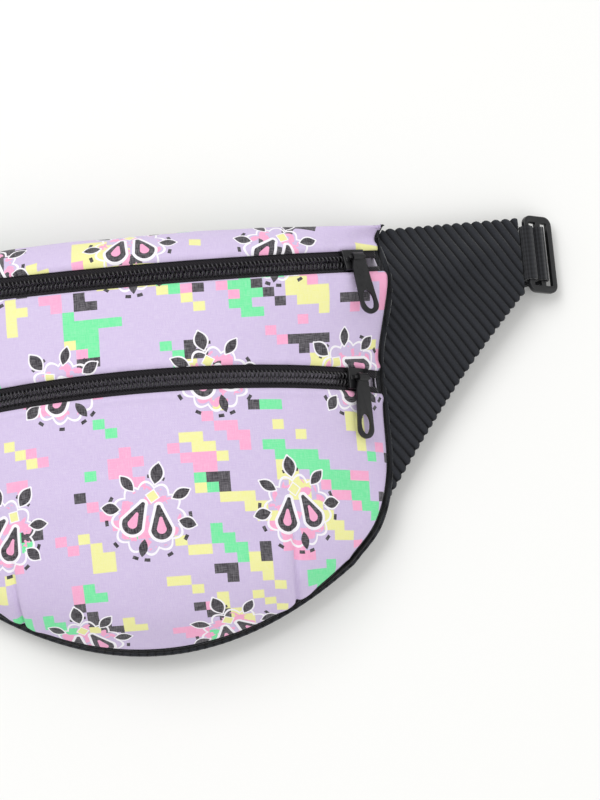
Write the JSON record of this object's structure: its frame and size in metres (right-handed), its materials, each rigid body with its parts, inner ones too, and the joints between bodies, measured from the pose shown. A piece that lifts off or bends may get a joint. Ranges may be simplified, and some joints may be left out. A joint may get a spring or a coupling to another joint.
{
  "type": "waist pack",
  "caption": "Waist pack with a printed cotton front, an upper and a lower zip, corduroy back and hip wings, and a webbing belt with a side-release buckle.",
  "frame": {"origin": "middle of the base, on the surface that the pack lies on, on its back", "axes": "+Z out of the front, +Y towards the top edge, +X along the belt to the right as seen from the front"},
  "size_m": [0.381, 0.1844, 0.0581],
  "materials": {
    "cotton": "plain-weave printed cotton, matt",
    "corduroy": "wide-wale corduroy, matt pile",
    "lining": "plain polyester lining",
    "webbing": "ribbed woven webbing",
    "zip_tape": "woven zip tape",
    "zip_coil": "nylon coil, satin",
    "black_metal": "black enamelled zinc, satin",
    "black_plastic": "moulded acetal, satin"
  },
  "bodies": {
    "bag": {"front_top_panel": "cotton", "front_middle_panel": "cotton", "front_lower_panel": "cotton", "back_panel": "corduroy", "wing_left": "corduroy", "wing_right": "corduroy", "back_lining": "lining", "pocket_divider": "lining", "seam_binding": "webbing", "anchor_loop_left": "webbing", "anchor_loop_right": "webbing", "upper_zip_tape_top": "zip_tape", "upper_zip_coil_top": "zip_coil", "upper_zip_tape_bottom": "zip_tape", "upper_zip_coil_bottom": "zip_coil", "lower_zip_tape_top": "zip_tape", "lower_zip_coil_top": "zip_coil", "lower_zip_tape_bottom": "zip_tape", "lower_zip_coil_bottom": "zip_coil"},
    "upper_slider": {"upper_zip_slider": "black_metal"},
    "upper_pull": {"upper_zip_pull": "black_metal"},
    "lower_slider": {"lower_zip_slider": "black_metal"},
    "lower_pull": {"lower_zip_pull": "black_metal"},
    "right_triglide": {"triglide_right": "black_plastic"},
    "right_belt": {"belt_strap_right": "webbing", "buckle_socket": "black_plastic"},
    "left_triglide": {"triglide_left": "black_plastic"},
    "left_belt": {"belt_strap_left": "webbing", "buckle_plug": "black_plastic"},
    "arm_top": {"buckle_arm_top": "black_plastic"},
    "arm_bottom": {"buckle_arm_bottom": "black_plastic"}
  },
  "joints": [
    {"name": "upper_zip_run", "type": "hinge", "parent": "bag", "child": "upper_slider", "pos_m": [0, 0.10609, -0.14756], "axis": [0, -0.9834, -0.1815], "range_deg": [0, 57.8]},
    {"name": "upper_pull_flip", "type": "hinge", "parent": "upper_slider", "child": "upper_pull", "pos_m": [0.09995, 0.07458, 0.03054], "axis": [-0.8752, -0.0878, 0.4756], "range_deg": [0, 165]},
    {"name": "lower_zip_run", "type": "hinge", "parent": "bag", "child": "lower_slider", "pos_m": [0, 0.02025, -0.0929], "axis": [0, -1, 0], "range_deg": [0, 77.8]},
    {"name": "lower_pull_flip", "type": "hinge", "parent": "lower_slider", "child": "lower_pull", "pos_m": [0.0973, 0.02025, 0.02756], "axis": [-0.7779, 0, 0.6284], "range_deg": [0, 165]},
    {"name": "right_triglide_turn", "type": "hinge", "parent": "bag", "child": "right_triglide", "pos_m": [0.17795, 0.07425, 0.012], "axis": [0, -1, 0], "range_deg": [0, 80]},
    {"name": "right_belt_swing", "type": "hinge", "parent": "right_triglide", "child": "right_belt", "pos_m": [0.18336, 0.07425, 0.00821], "axis": [0, -1, 0], "range_deg": [0, 40]},
    {"name": "left_triglide_turn", "type": "hinge", "parent": "bag", "child": "left_triglide", "pos_m": [-0.17795, 0.07425, 0.012], "axis": [0, 1, 0], "range_deg": [0, 80]},
    {"name": "left_belt_swing", "type": "hinge", "parent": "left_triglide", "child": "left_belt", "pos_m": [-0.18336, 0.07425, 0.00821], "axis": [0, 1, 0], "range_deg": [0, 40]},
    {"name": "arm_top_squeeze", "type": "hinge", "parent": "left_belt", "child": "arm_top", "pos_m": [-0.0297, 0.08525, 0.004], "axis": [0, 0, -1], "range_deg": [0, 8], "stiffness_Nm_per_rad": 0.5},
    {"name": "arm_bottom_squeeze", "type": "hinge", "parent": "left_belt", "child": "arm_bottom", "pos_m": [-0.0297, 0.06325, 0.004], "axis": [0, 0, 1], "range_deg": [0, 8], "stiffness_Nm_per_rad": 0.5}
  ],
  "couplings": [
    {"joint": "arm_bottom_squeeze", "follows": "arm_top_squeeze", "ratio": 1}
  ]
}
